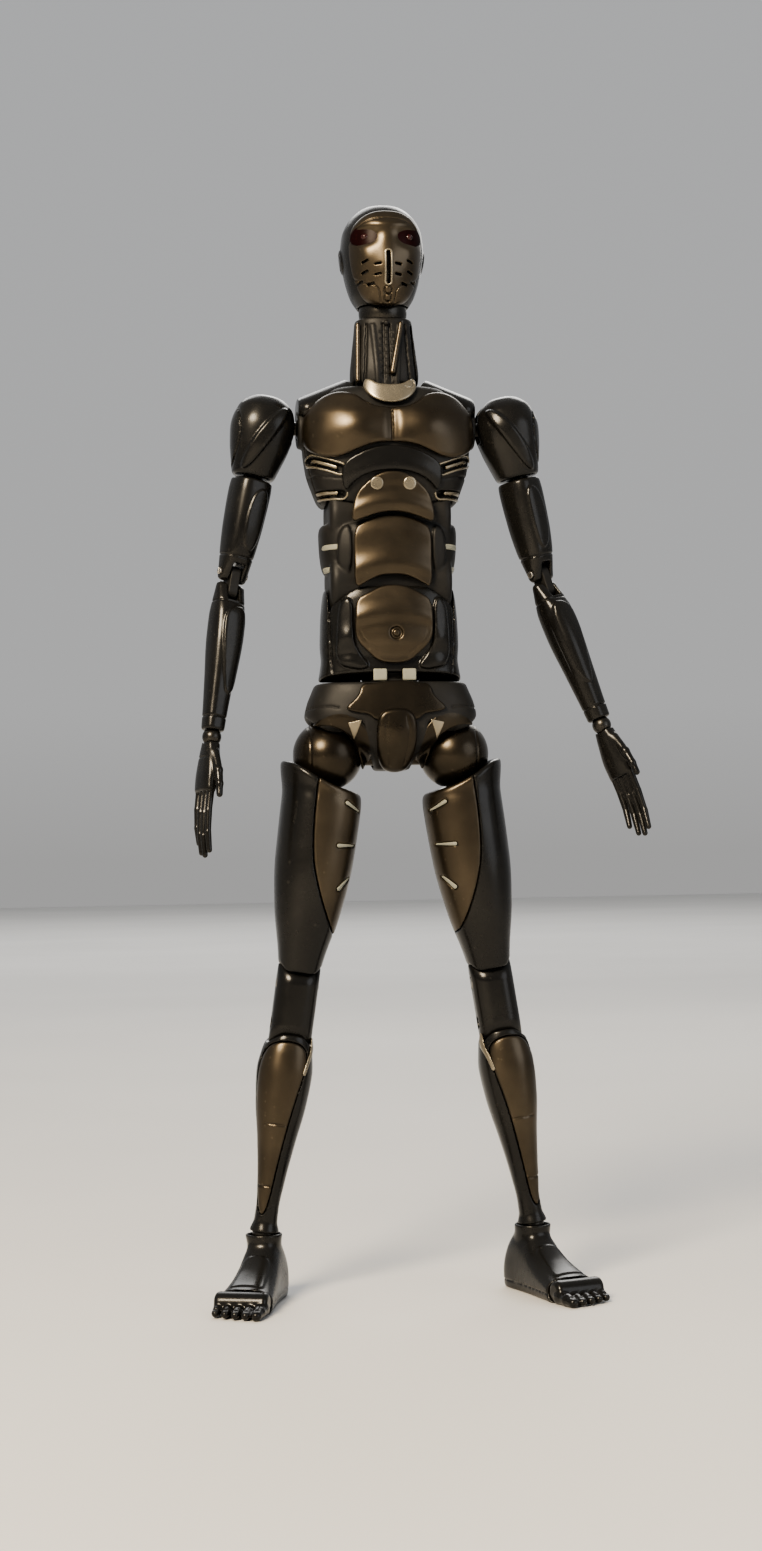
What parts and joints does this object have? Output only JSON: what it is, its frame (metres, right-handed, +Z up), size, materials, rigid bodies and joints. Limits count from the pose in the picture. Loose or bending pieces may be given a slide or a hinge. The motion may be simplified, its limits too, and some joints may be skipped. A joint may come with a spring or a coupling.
{
  "type": "poseable humanoid robot figure",
  "caption": "Standing poseable humanoid robot figure with black shell plates and friction joints at neck, trunk, shoulders, elbows, wrists, hips, knees, ankles and toes",
  "frame": {"origin": "centre of the outline on the floor under the soles, in the standing rest pose", "axes": "+Z is up, the figure faces -Y, and its own left side is +X"},
  "size_m": [0.1238, 0.0474, 0.2997],
  "materials": {
    "gloss_shell": "semi-gloss black moulded shell",
    "satin_frame": "satin black moulded core",
    "bronze_plate": "dark bronze satin paint",
    "pale_pad": "pale grey-green pad",
    "dark_lens": "dark red polished lens strip",
    "steel_pin": "plain steel joint hardware"
  },
  "bodies": {
    "pelvis": {"pelvis_block": "satin_frame", "pelvis_front_plate": "gloss_shell", "pelvis_back_plate": "gloss_shell", "crotch_guard": "gloss_shell"},
    "waist": {"waist_ball": "satin_frame", "waist_pad_l": "pale_pad", "waist_pad_r": "pale_pad"},
    "lower_abdomen": {"lower_abdomen": "satin_frame", "belly_plate": "gloss_shell"},
    "mid_abdomen": {"mid_abdomen": "satin_frame", "mid_abdomen_plate": "gloss_shell"},
    "chest": {"rib_cage": "satin_frame", "chest_plate": "gloss_shell", "chest_band": "satin_frame", "upper_abdomen_plate": "gloss_shell", "back_plate": "gloss_shell", "collar": "bronze_plate"},
    "neck": {"neck": "satin_frame"},
    "neck_ball": {"neck_ball": "steel_pin"},
    "head": {"skull_shell": "gloss_shell", "face_mask": "gloss_shell", "eye_strip": "dark_lens"},
    "shoulder_l": {"shoulder_joint_l": "steel_pin"},
    "shoulder_cap_l": {"shoulder_cap_l": "gloss_shell"},
    "upper_arm_l": {"upper_arm_l": "gloss_shell", "elbow_pin_l": "steel_pin"},
    "elbow_l": {"elbow_link_l": "satin_frame"},
    "forearm_l": {"forearm_l": "gloss_shell"},
    "wrist_l": {"wrist_ball_l": "steel_pin"},
    "hand_l": {"hand_l": "gloss_shell"},
    "hip_l": {"hip_ball_l": "gloss_shell"},
    "femur_l": {"femur_l": "steel_pin"},
    "thigh_l": {"thigh_shell_l": "gloss_shell", "thigh_inner_plate_l": "bronze_plate", "knee_pin_l": "steel_pin"},
    "knee_l": {"knee_link_l": "gloss_shell"},
    "shank_l": {"calf_shell_l": "gloss_shell", "shin_guard_l": "gloss_shell"},
    "ankle_l": {"ankle_ball_l": "steel_pin"},
    "foot_l": {"foot_l": "gloss_shell"},
    "toes_l": {"toes_l": "gloss_shell"},
    "shoulder_r": {"shoulder_joint_r": "steel_pin"},
    "shoulder_cap_r": {"shoulder_cap_r": "gloss_shell"},
    "upper_arm_r": {"upper_arm_r": "gloss_shell", "elbow_pin_r": "steel_pin"},
    "elbow_r": {"elbow_link_r": "satin_frame"},
    "forearm_r": {"forearm_r": "gloss_shell"},
    "wrist_r": {"wrist_ball_r": "steel_pin"},
    "hand_r": {"hand_r": "gloss_shell"},
    "hip_r": {"hip_ball_r": "gloss_shell"},
    "femur_r": {"femur_r": "steel_pin"},
    "thigh_r": {"thigh_shell_r": "gloss_shell", "thigh_inner_plate_r": "bronze_plate", "knee_pin_r": "steel_pin"},
    "knee_r": {"knee_link_r": "gloss_shell"},
    "shank_r": {"calf_shell_r": "gloss_shell", "shin_guard_r": "gloss_shell"},
    "ankle_r": {"ankle_ball_r": "steel_pin"},
    "foot_r": {"foot_r": "gloss_shell"},
    "toes_r": {"toes_r": "gloss_shell"}
  },
  "joints": [
    {"name": "waist_turn", "type": "hinge", "parent": "pelvis", "child": "waist", "pos_m": [-0.00691, 0.00821, 0.172], "axis": [0, 0, 1], "range_deg": [-30, 30]},
    {"name": "waist_bend", "type": "hinge", "parent": "waist", "child": "lower_abdomen", "pos_m": [-0.00691, 0.00821, 0.172], "axis": [-1, 0, 0], "range_deg": [-8, 10]},
    {"name": "abdomen_bend", "type": "hinge", "parent": "lower_abdomen", "child": "mid_abdomen", "pos_m": [-0.00691, 0.00821, 0.1955], "axis": [-1, 0, 0], "range_deg": [-7, 12]},
    {"name": "chest_bend", "type": "hinge", "parent": "mid_abdomen", "child": "chest", "pos_m": [-0.00691, 0.00821, 0.2135], "axis": [-1, 0, 0], "range_deg": [-8, 12]},
    {"name": "neck_bend", "type": "hinge", "parent": "chest", "child": "neck", "pos_m": [-0.00691, 0.00821, 0.248], "axis": [-1, 0, 0], "range_deg": [-10, 12]},
    {"name": "head_turn", "type": "hinge", "parent": "neck", "child": "neck_ball", "pos_m": [-0.00691, 0.00921, 0.2705], "axis": [0, 0, 1], "range_deg": [-60, 60]},
    {"name": "head_nod", "type": "hinge", "parent": "neck_ball", "child": "head", "pos_m": [-0.00691, 0.00921, 0.2705], "axis": [-1, 0, 0], "range_deg": [-12, 12]},
    {"name": "shoulder_swing_l", "type": "hinge", "parent": "chest", "child": "shoulder_l", "pos_m": [0.02709, 0.00821, 0.238], "axis": [-1, 0, 0], "range_deg": [-30, 90]},
    {"name": "arm_raise_l", "type": "hinge", "parent": "shoulder_l", "child": "shoulder_cap_l", "pos_m": [0.02709, 0.00821, 0.238], "axis": [0, -1, 0], "range_deg": [-6, 60]},
    {"name": "arm_twist_l", "type": "hinge", "parent": "shoulder_cap_l", "child": "upper_arm_l", "pos_m": [0.02709, 0.00821, 0.238], "axis": [-0.2164, 0, 0.9763], "range_deg": [-30, 30]},
    {"name": "elbow_upper_l", "type": "hinge", "parent": "upper_arm_l", "child": "elbow_l", "pos_m": [0.03596, 0.00821, 0.19797], "axis": [-0.7898, -0.5878, -0.1751], "range_deg": [-5, 50]},
    {"name": "elbow_lower_l", "type": "hinge", "parent": "elbow_l", "child": "forearm_l", "pos_m": [0.03734, 0.00779, 0.19318], "axis": [-0.7898, -0.5878, -0.1751], "range_deg": [-5, 50]},
    {"name": "wrist_turn_l", "type": "hinge", "parent": "forearm_l", "child": "wrist_l", "pos_m": [0.05091, 0.00089, 0.15512], "axis": [-0.331, 0.1682, 0.9285], "range_deg": [-60, 60]},
    {"name": "wrist_bend_l", "type": "hinge", "parent": "wrist_l", "child": "hand_l", "pos_m": [0.05091, 0.00089, 0.15512], "axis": [-0.5163, 0.7913, -0.3274], "range_deg": [-35, 35]},
    {"name": "hip_swing_l", "type": "hinge", "parent": "pelvis", "child": "hip_l", "pos_m": [0.01059, 0.00821, 0.148], "axis": [-1, 0, 0], "range_deg": [-20, 50]},
    {"name": "hip_splay_l", "type": "hinge", "parent": "hip_l", "child": "femur_l", "pos_m": [0.01059, 0.00821, 0.148], "axis": [0, -1, 0], "range_deg": [-5, 22]},
    {"name": "thigh_twist_l", "type": "hinge", "parent": "femur_l", "child": "thigh_l", "pos_m": [0.01059, 0.00821, 0.148], "axis": [-0.1495, 0, 0.9888], "range_deg": [-15, 15]},
    {"name": "knee_upper_l", "type": "hinge", "parent": "thigh_l", "child": "knee_l", "pos_m": [0.02006, 0.00821, 0.08541], "axis": [0.9888, 0, 0.1495], "range_deg": [0, 45]},
    {"name": "knee_lower_l", "type": "hinge", "parent": "knee_l", "child": "shank_l", "pos_m": [0.0217, 0.00821, 0.07454], "axis": [0.9888, 0, 0.1495], "range_deg": [0, 45]},
    {"name": "ankle_pitch_l", "type": "hinge", "parent": "shank_l", "child": "ankle_l", "pos_m": [0.03024, 0.00821, 0.01808], "axis": [-0.9397, -0.342, 0], "range_deg": [-18, 18]},
    {"name": "ankle_roll_l", "type": "hinge", "parent": "ankle_l", "child": "foot_l", "pos_m": [0.03024, 0.00821, 0.01808], "axis": [-0.342, 0.9397, 0], "range_deg": [-10, 10]},
    {"name": "toe_bend_l", "type": "hinge", "parent": "foot_l", "child": "toes_l", "pos_m": [0.03793, -0.01293, 0.0033], "axis": [-0.9397, -0.342, 0], "range_deg": [0, 35]},
    {"name": "shoulder_swing_r", "type": "hinge", "parent": "chest", "child": "shoulder_r", "pos_m": [-0.04091, 0.00821, 0.238], "axis": [-1, 0, 0], "range_deg": [-30, 90]},
    {"name": "arm_raise_r", "type": "hinge", "parent": "shoulder_r", "child": "shoulder_cap_r", "pos_m": [-0.04091, 0.00821, 0.238], "axis": [0, 1, 0], "range_deg": [-6, 60]},
    {"name": "arm_twist_r", "type": "hinge", "parent": "shoulder_cap_r", "child": "upper_arm_r", "pos_m": [-0.04091, 0.00821, 0.238], "axis": [-0.2164, 0, -0.9763], "range_deg": [-30, 30]},
    {"name": "elbow_upper_r", "type": "hinge", "parent": "upper_arm_r", "child": "elbow_r", "pos_m": [-0.04978, 0.00821, 0.19797], "axis": [-0.8919, -0.4067, 0.1977], "range_deg": [-5, 50]},
    {"name": "elbow_lower_r", "type": "hinge", "parent": "elbow_r", "child": "forearm_r", "pos_m": [-0.05069, 0.00781, 0.19307], "axis": [-0.8919, -0.4067, 0.1977], "range_deg": [-5, 50]},
    {"name": "wrist_turn_r", "type": "hinge", "parent": "forearm_r", "child": "wrist_r", "pos_m": [-0.0566, 0.00131, 0.15302], "axis": [-0.1442, -0.1586, -0.9768], "range_deg": [-60, 60]},
    {"name": "wrist_bend_r", "type": "hinge", "parent": "wrist_r", "child": "hand_r", "pos_m": [-0.0566, 0.00131, 0.15302], "axis": [0.4286, -0.8997, 0.0828], "range_deg": [-35, 35]},
    {"name": "hip_swing_r", "type": "hinge", "parent": "pelvis", "child": "hip_r", "pos_m": [-0.02441, 0.00821, 0.148], "axis": [-1, 0, 0], "range_deg": [-20, 50]},
    {"name": "hip_splay_r", "type": "hinge", "parent": "hip_r", "child": "femur_r", "pos_m": [-0.02441, 0.00821, 0.148], "axis": [0, 1, 0], "range_deg": [-5, 22]},
    {"name": "thigh_twist_r", "type": "hinge", "parent": "femur_r", "child": "thigh_r", "pos_m": [-0.02441, 0.00821, 0.148], "axis": [-0.1495, 0, -0.9888], "range_deg": [-15, 15]},
    {"name": "knee_upper_r", "type": "hinge", "parent": "thigh_r", "child": "knee_r", "pos_m": [-0.03388, 0.00821, 0.08541], "axis": [0.9888, 0, -0.1495], "range_deg": [0, 45]},
    {"name": "knee_lower_r", "type": "hinge", "parent": "knee_r", "child": "shank_r", "pos_m": [-0.03552, 0.00821, 0.07454], "axis": [0.9888, 0, -0.1495], "range_deg": [0, 45]},
    {"name": "ankle_pitch_r", "type": "hinge", "parent": "shank_r", "child": "ankle_r", "pos_m": [-0.04406, 0.00821, 0.01808], "axis": [-0.9397, 0.342, 0], "range_deg": [-18, 18]},
    {"name": "ankle_roll_r", "type": "hinge", "parent": "ankle_r", "child": "foot_r", "pos_m": [-0.04406, 0.00821, 0.01808], "axis": [-0.342, -0.9397, 0], "range_deg": [-10, 10]},
    {"name": "toe_bend_r", "type": "hinge", "parent": "foot_r", "child": "toes_r", "pos_m": [-0.05175, -0.01293, 0.0033], "axis": [-0.9397, 0.342, 0], "range_deg": [0, 35]}
  ]
}
